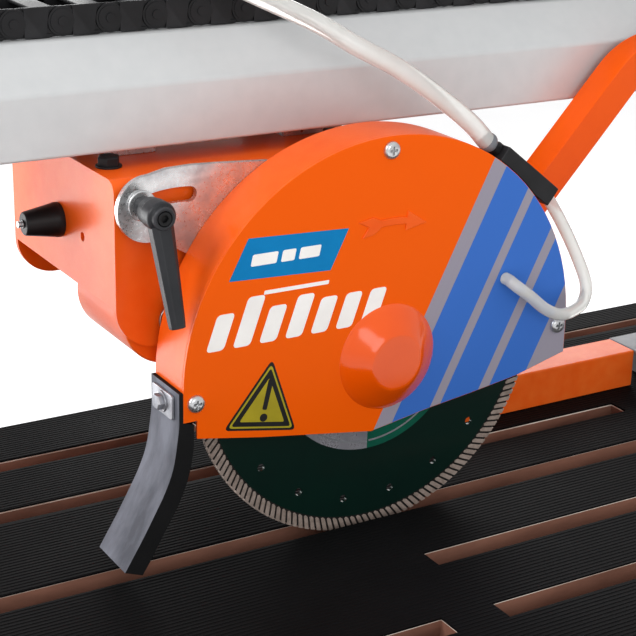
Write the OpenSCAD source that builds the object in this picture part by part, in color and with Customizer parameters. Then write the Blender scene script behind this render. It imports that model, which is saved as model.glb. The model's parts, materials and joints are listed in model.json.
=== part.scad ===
// Rail saw for masonry and tile: the motor and blade hang from a carriage that
// rolls under an aluminium beam, over a ribbed table with a water tray.
// Millimetres, +Z up, X along the beam, origin on the floor under the table's middle.

/* [Stand] */
// Height of the table's rubber surface above the floor
table_h = 760; // [600:10:950]
// Length of the table along the cut
table_l = 1200; // [900:10:1600]
// Depth of the table from front to back
table_w = 484; // [400:2:700]
// Width of the slot the blade runs in
cut_slot_w = 19; // [12:0.5:30]
// Thickness of the ribbed covering of the table
mat_t = 1.5; // [1:0.5:8]
// Thickness of the table plate under the covering
plate_t = 13.5; // [4:0.5:20]
// Outer size of the square tube of the legs and frame
frame_tube = 40; // [30:1:60]
// Wall of the square tube of the legs and frame
tube_wall = 3; // [2:0.5:5]
// Depth of the water tray
tray_d = 120; // [80:5:200]

/* [Beam] */
// Length of the aluminium beam
beam_l = 1360; // [1000:10:1800]
// Wall of the aluminium beam
beam_wall = 4; // [2:0.5:8]
// Thickness of the orange end plates that carry the beam
end_t = 10; // [6:1:16]

/* [Head] */
// Diameter of the diamond blade
blade_d = 250; // [200:5:350]
// Depth the blade dips below the table surface
blade_dip = 8.6; // [2:0.2:20]
// Width of the blade's diamond rim
rim_t = 2.8; // [2:0.1:4]
// Thickness of the steel core of the blade
core_t = 2.0; // [1.4:0.1:3]
// Outer radius of the blade guard
guard_r = 140.5; // [115:0.5:190]
// Thickness of the guard's sheet
guard_t = 2; // [1.5:0.5:4]
// Outer radius of the motor housing
motor_r = 52; // [40:1:60]
// Side of the square tube of the push handle
handle_w = 22; // [16:1:30]
// Length of the clamp lever's arm
lever_l = 62; // [45:1:90]
// Outer diameter of the water supply hose
hose_big_d = 12; // [8:1:16]
// Outer diameter of the short guard hose
hose_small_d = 8; // [6:1:10]

/* [Hidden] */
$fn = 96;
// head position along the beam at rest, and height of the blade axis
hx = 14;
zb = table_h + blade_d / 2 - blade_dip;
tl = table_l / 2;
tw = table_w / 2;
sw = cut_slot_w / 2;
bl = beam_l / 2;
ft = frame_tube;
fi = frame_tube - 2 * tube_wall;
rail_y = tw + 4;
rail_top = table_h - mat_t - plate_t - 20;
rail_z = rail_top - frame_tube + tube_wall;
leg_x = tl + 40;
// start, angle and middle radius of the handle's bend
bend_x = 214.3;
bend_z = 146.6;
bend_a = 42.5;
bend_r = 52;
handle_foot = 188;
grip_r = 17.2;
gr = guard_r;
// swing pivot and clamp stud, measured from the blade axis
px = -124.6;
pz = 31;
sx = -148.0;
sz = 106.5;
// running clearance between turning parts
run = 0.05;
// chain: front, back, bottom, height, bend radius, rest bend, fixed end, tow point
ch_y0 = 82;
ch_y1 = 122;
ch_z0 = zb + 194.5;
ch_h = 18;
ch_r = 34;
ch_bend = 330;
ch_fix = -600;
ch_tow = hx - 104;
rubber = [0.10, 0.10, 0.10];
orange = [0.91, 0.35, 0.07];
zinc = [0.72, 0.72, 0.72];
steel = [0.62, 0.63, 0.65];
black = [0.06, 0.06, 0.06];

// slots of the table: first x, last x, middle y, width
front_slots = [
    [-560, -18, -143.5, 18],
    [18, 560, -143.5, 18],
    [17, 560, -72, 18],
    [-560, -18, -213, 16],
    [18, 560, -213, 16]
];
rear_slots = [
    [-560, -18, 106, 18],
    [-560, -18, 179, 17],
    [18, 281, 62, 17],
    [18, 560, 205, 16]
];
small_pts = [
    [123.1, -8, 86.9], [126.4, -8, 84.3], [137, -12, 66], [146, -18, 45], [150, -25, 27],
    [146, -29, 17], [137, -32, 13], [124, -33, 12], [111, -33, 18], [99, -32, 28], [89, -29, 36],
    [88, -23, 38], [88, -19.3, 38]
];
big_pts = [
    [77.8, -8, 124.6], [74.7, -8, 127.1], [64, -5, 139], [44, 2, 156], [19, 10, 174],
    [-4, 20, 187], [-26, 32, 201], [-54, 48, 215], [-80, 70, 228.5], [-86, 77.6, 234.5],
    [-88, 80, 239.5], [-88, 80, 243.2]
];

// a point on a smooth curve through the list
function cr(a, b, c, d, t) = 0.5 * (2 * b + (c - a) * t
    + (2 * a - 5 * b + 4 * c - d) * t * t + (3 * b - 3 * c + d - a) * t * t * t);
function at(p, i) = p[max(0, min(len(p) - 1, i))];
// curve through the list, straight at both ends so that it meets its fittings squarely
function smooth(p, n) = concat(
    [p[0]],
    [for (i = [1:len(p) - 3]) for (k = [0:n - 1])
        cr(at(p, i - 1), p[i], p[i + 1], at(p, i + 2), k / n)],
    [p[len(p) - 2], p[len(p) - 1]]);
function unit(v) = v / norm(v);
function dir(p, i) = unit(at(p, i + 1) - at(p, i - 1));
// ring of n points around the curve at point i; ref is a direction the curve never takes
function ring(p, i, r, n, ref) = let (t = dir(p, i), a = unit(cross(ref, t)), b = cross(t, a))
    [for (k = [0:n - 1]) p[i] + r * (cos(360 * k / n) * a + sin(360 * k / n) * b)];

module hose(pts, r, n, s, ref) {
    p = smooth(pts, s);
    m = len(p);
    v = [for (i = [0:m - 1]) for (q = ring(p, i, r, n, ref)) q];
    side = [for (i = [0:m - 2]) for (k = [0:n - 1]) for (f = [0, 1])
        f == 0 ? [i * n + k, i * n + (k + 1) % n, (i + 1) * n + k]
            : [i * n + (k + 1) % n, (i + 1) * n + (k + 1) % n, (i + 1) * n + k]];
    ends = [[for (k = [n - 1:-1:0]) k], [for (k = [0:n - 1]) (m - 1) * n + k]];
    polyhedron(points = v, faces = concat(side, ends), convexity = 4);
}

module box(x0, x1, y0, y1, z0, z1) {
    translate([x0, y0, z0])
        cube([x1 - x0, y1 - y0, z1 - z0]);
}

// a cylinder along Y from y0 to y1
module ycyl(r, y0, y1) {
    translate([0, y0, 0])
        rotate([-90, 0, 0])
            cylinder(r = r, h = y1 - y0);
}

// a cylinder along X from x0 to x1
module xcyl(r, x0, x1) {
    translate([x0, 0, 0])
        rotate([0, 90, 0])
            cylinder(r = r, h = x1 - x0);
}

// places a child at the blade axis, or at a point measured from it
module head(x = 0, z = 0) {
    translate([hx + x, 0, zb + z])
        children();
}

// ---------- stand ----------
module four(x, y) {
    for (a = [-x, x])
        for (b = [-y, y])
            translate([a, b, 0])
                children();
}

module legs() {
    color(orange)
        four(leg_x, rail_y + ft / 2)
            difference() {
                box(-ft / 2, ft / 2, -ft / 2, ft / 2, 14, rail_top - ft);
                box(-fi / 2, fi / 2, -fi / 2, fi / 2, 13, rail_top);
            }
}

module feet() {
    color(rubber)
        four(leg_x, rail_y + ft / 2)
            cylinder(r = 26, h = 14);
}

module braces() {
    color(orange)
        for (x = [-leg_x, leg_x])
            box(x - 12, x + 12, -rail_y, rail_y, 180, 204);
}

module rails() {
    color(orange)
        for (y = [-rail_y - ft / 2, rail_y + ft / 2])
            difference() {
                box(-leg_x - ft / 2, leg_x + ft / 2, y - ft / 2, y + ft / 2, rail_top - ft, rail_top);
                box(-leg_x - ft, leg_x + ft, y - fi / 2, y + fi / 2, rail_z, rail_z + fi);
            }
}

module crossbars() {
    color(orange)
        for (x = [-leg_x, leg_x])
            difference() {
                box(x - ft / 2, x + ft / 2, -rail_y, rail_y, rail_top - ft, rail_top);
                box(x - fi / 2, x + fi / 2, -rail_y - 1, rail_y + 1, rail_z, rail_z + fi);
            }
}

// flat straps that hang from the rails and hold the tray
module tray_straps() {
    zt = rail_top - tray_d;
    color(orange)
        for (x = [-320, 290]) {
            box(x, x + 30, -rail_y - 5, rail_y + 5, zt - 6, zt);
            box(x, x + 30, -rail_y - 5, -rail_y, zt, rail_top - ft);
            box(x, x + 30, rail_y, rail_y + 5, zt, rail_top - ft);
        }
}

// open water tray under the table, with a drain hole in its floor
module water_tray() {
    z0 = rail_top - tray_d;
    color(black)
        difference() {
            box(-tl - 8, tl + 8, -tw, tw, z0, table_h - mat_t - plate_t);
            box(-tl - 5, tl + 5, -tw + 3, tw - 3, z0 + 3, table_h);
            translate([520, 0, z0 - 1])
                cylinder(r = 9, h = 6);
        }
}

module drain_spout() {
    z0 = rail_top - tray_d;
    color(black)
        translate([520, 0, z0 - 26])
            difference() {
                cylinder(r = 13, h = 26);
                translate([0, 0, -1])
                    cylinder(r = 9, h = 28);
            }
}

module slots(list, z0, z1) {
    for (s = list)
        box(s[0], s[1], s[2] - s[3] / 2, s[2] + s[3] / 2, z0, z1);
}

module table_plate_front() {
    color(zinc)
        difference() {
            box(-tl - 8, tl + 8, -tw, -sw, table_h - mat_t - plate_t, table_h - mat_t);
            slots(front_slots, table_h - 30, table_h + 1);
        }
}

module table_plate_rear() {
    color(zinc)
        difference() {
            box(-tl - 8, tl + 8, sw, tw, table_h - mat_t - plate_t, table_h - mat_t);
            slots(rear_slots, table_h - 30, table_h + 1);
        }
}

module mat_front() {
    color(rubber)
        difference() {
            box(-tl, tl, -tw, -sw, table_h - mat_t, table_h);
            slots(front_slots, table_h - 30, table_h + 1);
        }
}

module mat_rear() {
    color(rubber)
        difference() {
            box(-tl, tl, sw, tw, table_h - mat_t, table_h);
            slots(rear_slots, table_h - 30, table_h + 1);
        }
}

// plates rising from the frame, each with the pin that an end plate tilts on
module tilt_brackets() {
    x0 = bl + end_t + 2;
    color(orange)
        for (m = [0, 1])
            mirror([m, 0, 0])
                difference() {
                    union() {
                        box(x0, x0 + 10, -60, 60, rail_top, table_h + 34);
                        box(leg_x + ft / 2, x0 + 10, -60, 60, rail_top - 8, rail_top);
                    }
                    translate([0, 0, table_h])
                        xcyl(10, bl, bl + 60);
                }
}

module tilt_pins() {
    color(steel)
        for (m = [0, 1])
            mirror([m, 0, 0])
                translate([0, 0, table_h]) {
                    xcyl(10, bl - 4, bl + end_t + 12);
                    xcyl(16, bl + end_t + 12, bl + end_t + 20);
                }
}

// square tube across the table's far side, and the grey plate at its end
module fence_bar() {
    color(orange)
        difference() {
            box(hx + 40, hx + 304, 90.5, 120.5, table_h, table_h + 29.5);
            box(hx + 39, hx + 305, 93, 118, table_h + 2.5, table_h + 27);
        }
}

// grey plate on a low post, butted against the end of the square tube
module fence_plate() {
    color([0.5, 0.5, 0.52]) {
        box(hx + 304, hx + 384, 38, 122, table_h + 25.5, table_h + 29.5);
        box(hx + 325, hx + 365, 85, 115, table_h, table_h + 25.5);
    }
}

// ---------- tilting beam ----------
// rolled section: flat top, sloping shoulders, open along the bottom for the rollers
module beam() {
    w = beam_wall;
    color([0.86, 0.87, 0.87])
        translate([-bl, 0, zb])
            rotate([90, 0, 90])
                linear_extrude(height = beam_l)
                    polygon([
                        [53, 130], [53, 168], [79, 194], [137, 194], [163, 168], [163, 130],
                        [139, 130], [139, 130 + w], [163 - w, 130 + w], [163 - w, 166.4],
                        [135.4, 194 - w], [80.6, 194 - w], [53 + w, 166.4],
                        [53 + w, 130 + w], [77, 130 + w], [77, 130]
                    ]);
}

// upright plates at the beam's ends, bored for the tilt pins
module end_plates() {
    color(orange)
        for (x0 = [-bl - end_t, bl])
            difference() {
                union() {
                    translate([x0, 0, zb])
                        rotate([90, 0, 90])
                            linear_extrude(height = end_t)
                                polygon([
                                    [-32, table_h - zb], [32, table_h - zb], [60, -90], [176, 110],
                                    [176, 200], [150, 214], [66, 214], [40, 196], [40, 120], [-32, -60]
                                ]);
                    translate([0, 0, table_h])
                        xcyl(32, x0, x0 + end_t);
                }
                translate([0, 0, table_h])
                    xcyl(10 + run, -bl - 60, bl + 60);
            }
}

module end_stops() {
    color(rubber)
        for (x0 = [-bl, bl - 12])
            box(x0, x0 + 12, 84, 132, zb + 138, zb + 160);
}

module chain_anchor() {
    color(steel)
        box(ch_fix - 24, ch_fix, ch_y0, ch_y1, zb + 194, ch_z0 + ch_h);
}

module chain_lower() {
    color(black)
        difference() {
            box(ch_fix, ch_bend, ch_y0, ch_y1, ch_z0, ch_z0 + ch_h);
            box(ch_fix + 10, ch_bend - 10, ch_y0 + 6, ch_y1 - 6, ch_z0 + 3, ch_z0 + ch_h + 1);
        }
}

module chain_arc(z0, z1) {
    zc = ch_z0 + ch_h / 2 + ch_r;
    color(black)
        intersection() {
            translate([ch_bend, 0, zc])
                difference() {
                    ycyl(ch_r + ch_h / 2, ch_y0, ch_y1);
                    ycyl(ch_r - ch_h / 2, ch_y0 - 1, ch_y1 + 1);
                }
            box(ch_bend, ch_bend + 80, ch_y0 - 1, ch_y1 + 1, z0, z1);
        }
}

module chain_bend_low() {
    zc = ch_z0 + ch_h / 2 + ch_r;
    chain_arc(zc - 60, zc - 0.2);
}

module chain_bend_high() {
    zc = ch_z0 + ch_h / 2 + ch_r;
    chain_arc(zc + 0.2, zc + 60);
}

module chain_upper() {
    z = ch_z0 + 2 * ch_r;
    color(black)
        difference() {
            box(ch_tow, ch_bend, ch_y0, ch_y1, z, z + ch_h);
            box(ch_tow + 10, ch_bend - 10, ch_y0 + 6, ch_y1 - 6, z - 1, z + ch_h - 3);
        }
}

// ---------- carriage ----------
module carriage_side(y0) {
    difference() {
        union() {
            box(-136, -58, y0, y0 + 4, 16, 112);
            box(-162, -58, y0, y0 + 4, 42, 112);
            translate([-136, 0, 42])
                ycyl(26, y0, y0 + 4);
        }
        translate([px, 0, pz])
            ycyl(10, y0 - 1, y0 + 5);
        translate([sx, 0, sz])
            ycyl(4, y0 - 1, y0 + 5);
    }
}

// rounded fold between an upright plate and the top plate
module fold(y0, y1, yc) {
    intersection() {
        translate([0, yc, 112])
            difference() {
                xcyl(8, -162, 30);
                xcyl(4, -163, 31);
            }
        box(-163, 31, y0, y1, 112, 121);
    }
}

// folded orange box, open below and on the right
module carriage_frame() {
    color(orange)
        head() {
            carriage_side(26);
            carriage_side(186);
            difference() {
                box(-162, -158, 30, 186, 42, 116);
                translate([0, 74, 74.5])
                    xcyl(3, -170, -150);
            }
            box(-162, 30, 34, 182, 116, 120);
            fold(26, 34, 34);
            fold(182, 190, 182);
        }
}

module hanger(x) {
    for (y = [80, 132])
        difference() {
            box(x - 15, x + 15, y, y + 4, 120, 158);
            translate([x, 0, 148.3])
                ycyl(5 + run, y - 1, y + 5);
        }
    box(x - 15, x + 15, 84, 132, 120, 123);
}

// upright ears that reach through the beam's slot and carry the roller axles
module hangers() {
    color(steel)
        head() {
            hanger(-125);
            hanger(-5);
        }
}

module roller_set(x) {
    color(black)
        head(x, 148.3) {
            ycyl(5, 60, 156);
            ycyl(14, 60, 76);
            ycyl(14, 140, 156);
        }
}

module rollers_left() { roller_set(-125); }
module rollers_right() { roller_set(-5); }

// low black bolt heads on the carriage's top plate, under the beam
module top_bolts() {
    color(black)
        for (x = [-150, 4])
            for (y = [60, 158])
                translate([hx + x, y, zb + 120])
                    cylinder(r = 8, h = 7);
}

module pivot_pin() {
    color(steel)
        head(px, pz) {
            ycyl(10, 24.5, 196);
            ycyl(14, 190, 197);
        }
}

module bumper() {
    color(rubber)
        head(-162, 76)
            translate([0, 110, 0])
                rotate([0, -90, 0]) {
                    cylinder(r1 = 11, r2 = 7.5, h = 24);
                    cylinder(r = 4, h = 28);
                }
}

module clamp_stud() {
    color(steel)
        head(sx, sz) {
            ycyl(4, 3, 30);
            ycyl(9, 17, 18.7);
            ycyl(6, 23.3, 26);
        }
}

// post and arm that tow the upper end of the energy chain and hold the hose
module tow_bracket() {
    color(steel)
        union() {
            box(ch_tow, ch_tow + 30, 190, 195, zb + 60, ch_z0 + 2 * ch_r - 0.5);
            box(ch_tow, ch_tow + 30, 70, 195, ch_z0 + 2 * ch_r - 5, ch_z0 + 2 * ch_r);
            translate([hx - 88, 80, ch_z0 + 2 * ch_r - 19])
                cylinder(r = 9, h = 14);
        }
}

// ---------- clamp lever ----------
module clamp_lever() {
    color(black)
        head(sx, sz) {
            difference() {
                union() {
                    ycyl(9, -8, 16.9);
                    ycyl(7, -12, -8);
                    rotate([0, 180 - 3, 0])
                        rotate([14, 0, 0])
                            translate([0, -6, 0])
                                cylinder(r1 = 6.5, r2 = 5, h = lever_l);
                }
                ycyl(4 + run, -4, 20);
            }
        }
}

// ---------- swinging head ----------
// cuts away everything under the guard's V-shaped lower edge
module guard_below(y0, y1) {
    translate([0, y1, 0])
        rotate([90, 0, 0])
            linear_extrude(height = y1 - y0)
                polygon([
                    [-160, -17], [-131.6, -17], [-131.6, -28.5], [-89.5, -36.2], [-50, -42.2],
                    [-10, -48.5], [34.4, -41], [65, -37], [102, -31.4], [139, -21.7], [160, -17],
                    [160, -200], [-160, -200]
                ]);
}

module guard_blank(r, y0, y1) {
    difference() {
        union() {
            ycyl(r, y0, y1);
            box(-r, r, y0, y1, -30, 0);
        }
        guard_below(y0 - 1, y1 + 1);
    }
}

// rim and back of the guard, open to the front and below
module guard_shell() {
    color(orange)
        head()
            difference() {
                guard_blank(gr, -17, 19);
                difference() {
                    union() {
                        ycyl(gr - guard_t, -18, 16.5);
                        box(-gr + guard_t, gr - guard_t, -18, 16.5, -60, 0);
                    }
                }
                ycyl(30, 16, 20);
            }
}

// flat front of the guard with the pressed dome over the blade nut
module guard_cover() {
    color(orange)
        head()
            difference() {
                union() {
                    guard_blank(gr, -19, -17);
                    rotate([90, 0, 0])
                        rotate_extrude()
                            polygon([
                                [0, 18], [34.5, 18], [34.2, 19.3], [32.8, 20.8], [30, 22.8], [26, 25.6],
                                [22, 28.4], [18.6, 30.5], [17.6, 30.9], [16.5, 31], [0, 31]
                            ]);
                }
                rotate([90, 0, 0])
                    rotate_extrude()
                        polygon([
                            [0, 16], [31.5, 16], [31.5, 19.6], [29, 22.4], [26.4, 24], [23, 26.4],
                            [20, 28.2], [17.5, 29], [0, 29]
                        ]);
            }
}

module cover_screws() {
    color(zinc)
        head()
            for (p = [[-2.5, 131.9], [-132.6, -5.8], [133, -1.1]])
                translate([p[0], 0, p[1]]) {
                    ycyl(5.5, -21, -19);
                    ycyl(3.6, -22.2, -21);
                }
}

// slotted zinc plate that the lever clamps at the chosen height
module swing_plate() {
    color(zinc)
        head()
            difference() {
                union() {
                    translate([0, 23, 0])
                        rotate([90, 0, 0])
                            linear_extrude(height = 4)
                                polygon([
                                    [-143, 123.5], [-131.5, 126.1], [-114.8, 126.6], [-98, 125.8],
                                    [-65, 123.6], [-40, 118], [-24, 66], [-46, 42], [-100, 62],
                                    [-126, 77.5], [-143, 83.5]
                                ]);
                    translate([-143, 0, 103.5])
                        ycyl(20, 19, 23);
                }
                translate([px, 0, pz]) {
                    intersection() {
                        difference() {
                            ycyl(79 + 4.6, 18, 24);
                            ycyl(79 - 4.6, 17, 25);
                        }
                        translate([0, 25, 0])
                            rotate([90, 0, 0])
                                linear_extrude(height = 8)
                                    polygon([
                                        [0, 0], [-100 * tan(17.5), 100], [100 * tan(5.8), 100]
                                    ]);
                    }
                    for (a = [-17.2, 5.5])
                        rotate([0, a, 0])
                            translate([0, 0, 79])
                                ycyl(4.6, 18, 24);
                }
            }
}

// push handle: mounting plate and bent square tube, ending in a soft grip
module handle_tube() {
    color(orange)
        head() {
            difference() {
                box(56, 120, 19, 25, -20, 50);
                ycyl(57, 18, 26);
            }
            handle_path();
        }
}

// bent bar of square section: straight up from the plate, round the bend, and level into the grip
module handle_path() {
    h = handle_w;
    cx = bend_x + bend_r * cos(bend_a);
    cz = bend_z - bend_r * sin(bend_a);
    outer = [for (k = [0:19]) bend_point(cx, cz, bend_r + h / 2, k)];
    inner = [for (k = [19:-1:0]) bend_point(cx, cz, bend_r - h / 2, k)];
    foot = [-handle_foot * sin(bend_a), -handle_foot * cos(bend_a)];
    translate([0, 24 + h, 0])
        rotate([90, 0, 0])
            linear_extrude(height = h)
                polygon(concat(
                    [outer[0] + foot], outer,
                    [[cx + 92, cz + bend_r + h / 2], [cx + 92, cz + bend_r - h / 2]],
                    inner, [inner[19] + foot]));
}

function bend_point(cx, cz, r, k) = let (a = 180 - bend_a - k * (90 - bend_a) / 19)
    [cx + r * cos(a), cz + r * sin(a)];

module handle_grip() {
    x0 = bend_x + bend_r * cos(bend_a) + 2;
    z0 = bend_z + bend_r - bend_r * sin(bend_a);
    color(rubber)
        head()
            difference() {
                translate([x0, 24 + handle_w / 2, z0])
                    xcyl(grip_r, 0, 94);
                box(x0 - 1, x0 + 90, 24, 24 + handle_w, z0 - handle_w / 2, z0 + handle_w / 2);
            }
}

// arm from the swing tube to the motor
module head_arm() {
    color(orange)
        head(px, pz)
            difference() {
                rotate([0, 14, 0])
                    box(20, 100, 60, 100, -26, 26);
                ycyl(30, 59, 101);
                translate([-px, 0, -pz])
                    ycyl(motor_r, 59, 101);
            }
}

module swing_tube() {
    color(orange)
        head(px, pz)
            difference() {
                ycyl(30, 31, 104);
                ycyl(10 + run, 30, 105);
            }
}

module motor_housing() {
    color([0.25, 0.26, 0.28])
        head()
            difference() {
                ycyl(motor_r, 30, 150);
                ycyl(motor_r - 4, 29, 151);
            }
}

module motor_flange() {
    color([0.25, 0.26, 0.28])
        head()
            difference() {
                ycyl(motor_r + 2, 19, 30);
                ycyl(17, 18, 31);
            }
}

module motor_stator() {
    color([0.55, 0.30, 0.15])
        head()
            difference() {
                ycyl(motor_r - 4, 46, 130);
                ycyl(30, 45, 131);
            }
}

module motor_cap() {
    color([0.25, 0.26, 0.28])
        head()
            difference() {
                ycyl(motor_r, 150, 158);
                ycyl(17, 149, 159);
            }
}

module fan_cover() {
    color(black)
        head()
            difference() {
                ycyl(motor_r, 158, 186);
                ycyl(motor_r - 2, 157, 184);
                for (r = [14:10:44])
                    difference() {
                        ycyl(r + 3, 183, 187);
                        ycyl(r - 3, 182, 188);
                        box(-60, 60, 181, 189, -2, 2);
                        box(-2, 2, 181, 189, -60, 60);
                    }
            }
}

module bearings() {
    color(steel)
        head()
            for (y = [[19, 30], [150, 158]])
                difference() {
                    ycyl(17, y[0], y[1]);
                    ycyl(9 + run, y[0] - 1, y[1] + 1);
                }
}

// rubber splash flap hanging behind the guard's left end
module splash_flap() {
    color(rubber)
        head()
            translate([0, 19, 0])
                rotate([90, 0, 0])
                    linear_extrude(height = 38)
                        polygon([
                            [-143.6, 2], [-143.4, -16], [-144.6, -28], [-147.6, -45], [-153, -59],
                            [-160.5, -73], [-169, -88], [-180.2, -107.2], [-168, -109.8], [-162.6, -101.4],
                            [-154.6, -86.8], [-146.2, -72.9], [-139.9, -59.6], [-135.9, -47.1],
                            [-133.8, -33], [-133.4, -19], [-140.5, -16.9], [-140.5, 2]
                        ]);
}

// square washer plate and hexagon bolt that clamp the flap to the rim
module flap_fixing() {
    color(zinc)
        head() {
            translate([0, 13, 0])
                rotate([90, 0, 0])
                    linear_extrude(height = 28)
                        polygon([[-145.4, -1], [-143.65, -1], [-143.45, -16], [-145.2, -16]]);
            translate([-145.25, 0, -8.5])
                rotate([0, 0, 90])
                    rotate([-90, 0, 0])
                        cylinder(r = 5.2, h = 4.5, $fn = 6);
        }
}

// black block on the rim where the supply hose arrives and the guard hose leaves
module hose_fitting() {
    color(black)
        head()
            difference() {
                translate([101, 0, 106])
                    rotate([0, 38, 0]) {
                        box(-23.4, 28.9, -19, 3, -8, 5);
                        translate([-23.4, -8, 0.4])
                            rotate([0, -90, 0])
                                cylinder(r = 6.6, h = 6);
                    }
                ycyl(gr, -30, 30);
            }
}

module hose_small() {
    color([0.9, 0.9, 0.88])
        head()
            hose(small_pts, hose_small_d / 2, 8, 3, [0.4, 0.5, 0.75]);
}

module hose_big() {
    color([0.9, 0.9, 0.88])
        head()
            hose(big_pts, hose_big_d / 2, 10, 4, [1, 0.4, 0]);
}

// ---------- spindle ----------
// motor shaft with its rotor; the collar centres the blade
module spindle_shaft() {
    color(steel)
        head() {
            ycyl(9, -10, 180);
            ycyl(12.7, -1, 1);
            ycyl(29.4, 50, 126);
        }
}

module blade_core() {
    color([0.04, 0.14, 0.11])
        head()
            difference() {
                ycyl(blade_d / 2 - 9.4, -core_t / 2, core_t / 2);
                ycyl(12.7, -2, 2);
                for (a = [0:20:340])
                    rotate([0, a, 0])
                        translate([102.7, 0, 0])
                            ycyl(2.5, -2, 2);
            }
}

module blade_rim() {
    color([0.66, 0.62, 0.56])
        head()
            difference() {
                ycyl(blade_d / 2, -rim_t / 2, rim_t / 2);
                ycyl(blade_d / 2 - 9.4, -3, 3);
            }
}

module flange_outer() {
    color(steel)
        head()
            difference() {
                ycyl(42, -6, -1);
                ycyl(9, -7, 0);
            }
}

module flange_inner() {
    color(steel)
        head()
            difference() {
                ycyl(42, 1, 12);
                ycyl(9, 0, 13);
            }
}

module blade_nut() {
    color(steel)
        head()
            difference() {
                translate([0, -16, 0])
                    rotate([-90, 0, 0])
                        cylinder(r = 17, h = 10, $fn = 6);
                ycyl(9, -17, -5);
            }
}

module fan() {
    color(black)
        head()
            difference() {
                union() {
                    ycyl(16, 162, 178);
                    for (a = [0:40:320])
                        rotate([0, a, 0])
                            box(14, 44, 164, 176, -1.5, 1.5);
                }
                ycyl(9, 160, 182);
            }
}

legs();
feet();
braces();
rails();
crossbars();
tray_straps();
water_tray();
drain_spout();
table_plate_front();
table_plate_rear();
mat_front();
mat_rear();
tilt_brackets();
tilt_pins();
fence_bar();
fence_plate();
beam();
end_plates();
end_stops();
chain_anchor();
chain_lower();
chain_bend_low();
chain_bend_high();
chain_upper();
carriage_frame();
hangers();
rollers_left();
rollers_right();
top_bolts();
pivot_pin();
bumper();
clamp_stud();
tow_bracket();
clamp_lever();
guard_shell();
guard_cover();
cover_screws();
swing_plate();
handle_tube();
handle_grip();
head_arm();
swing_tube();
motor_housing();
motor_flange();
motor_stator();
motor_cap();
fan_cover();
bearings();
splash_flap();
flap_fixing();
hose_fitting();
hose_small();
hose_big();
spindle_shaft();
blade_core();
blade_rim();
flange_outer();
flange_inner();
blade_nut();
fan();
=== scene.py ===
# %% [markdown]
# # A rail saw for stone, cell by cell
# A bridge saw cuts wet stone on a table. Its cutting head hangs from a carriage that rolls along a beam.
# The measured frame holds the sizes. These cells give each part its rounded edges, small details and
# finish.

# %% Open the measured frame
import json
import math

import bmesh
import bpy
from mathutils import Matrix, Vector


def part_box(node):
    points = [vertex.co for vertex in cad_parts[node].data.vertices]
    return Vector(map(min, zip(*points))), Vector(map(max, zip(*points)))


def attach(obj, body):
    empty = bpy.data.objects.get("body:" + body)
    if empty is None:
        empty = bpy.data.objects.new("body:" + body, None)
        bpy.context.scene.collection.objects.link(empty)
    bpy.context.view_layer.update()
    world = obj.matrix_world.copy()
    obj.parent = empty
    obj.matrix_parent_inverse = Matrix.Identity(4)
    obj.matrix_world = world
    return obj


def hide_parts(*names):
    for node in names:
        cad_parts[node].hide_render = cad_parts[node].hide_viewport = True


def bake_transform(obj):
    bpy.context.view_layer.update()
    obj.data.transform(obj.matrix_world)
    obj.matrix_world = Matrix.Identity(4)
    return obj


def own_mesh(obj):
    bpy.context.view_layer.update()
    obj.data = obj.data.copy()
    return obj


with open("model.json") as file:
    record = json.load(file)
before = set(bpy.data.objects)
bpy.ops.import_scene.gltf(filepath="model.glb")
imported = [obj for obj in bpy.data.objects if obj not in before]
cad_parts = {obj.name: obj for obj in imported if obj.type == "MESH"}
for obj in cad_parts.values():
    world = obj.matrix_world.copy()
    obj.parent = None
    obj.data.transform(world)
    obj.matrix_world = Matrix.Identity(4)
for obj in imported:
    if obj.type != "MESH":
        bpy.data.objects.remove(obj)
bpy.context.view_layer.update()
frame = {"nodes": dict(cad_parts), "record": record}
scene = bpy.context.scene
parts = frame["nodes"]
body_of = {node: body for body, nodes in frame["record"]["behaviour"]["bodies"].items() for node in nodes}

# %% [markdown]
# Most parts of the cutting head are easiest to place from the middle of the blade, so that is measured
# first. Sizes below are in millimetres, because that is how such a saw is drawn, and one factor turns
# them into metres.

# %% Find the middle of the blade
MM = 0.001
blade_low, blade_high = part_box("blade_core")
AXIS = (blade_low + blade_high) / 2
WORLD = Vector((0, 0, 0))
TABLE_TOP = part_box("mat_front")[1].z / MM
print("blade axis at", [round(v, 4) for v in AXIS], "table top at", round(TABLE_TOP, 1), "mm")

# %% [markdown]
# The camera comes before everything else, since it decides what is seen large. It stands in front of the
# saw and left of the blade, a little above the beam. It looks down at the guard with a long lens, which
# keeps the guard nearly round.

# %% Set the camera
eye = Vector((-0.5173, -0.8198, 1.2480))
yaw, pitch, roll = math.radians(30.97), math.radians(19.88), math.radians(-1.316)
forward = Vector((math.sin(yaw) * math.cos(pitch), math.cos(yaw) * math.cos(pitch), -math.sin(pitch)))
level = Vector((math.cos(yaw), -math.sin(yaw), 0))
down = forward.cross(level)
across = math.cos(roll) * level + math.sin(roll) * down
upward = math.sin(roll) * level - math.cos(roll) * down
camera_data = bpy.data.cameras.new("camera")
camera_data.lens = 93.78
camera_data.sensor_width = 36
camera = bpy.data.objects.new("camera", camera_data)
scene.collection.objects.link(camera)
turn = Matrix((across, upward, -forward)).transposed()
camera.matrix_world = Matrix.Translation(eye) @ turn.to_4x4()
scene.camera = camera
scene.view_settings.view_transform = "Standard"
print("camera looks along", [round(v, 3) for v in forward])

# %% [markdown]
# A colour that is read from a screen has to be turned into an amount of light before a shader can use it.

# %% Turn screen colours into light


def tint(r, g, b):
    """A screen colour, 0 to 255, as linear light."""
    values = [c / 255 for c in (r, g, b)]
    return tuple(c / 12.92 if c <= 0.04045 else ((c + 0.055) / 1.055) ** 2.4 for c in values) + (1,)


print("orange as light:", [round(v, 3) for v in tint(232, 90, 18)])

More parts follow.
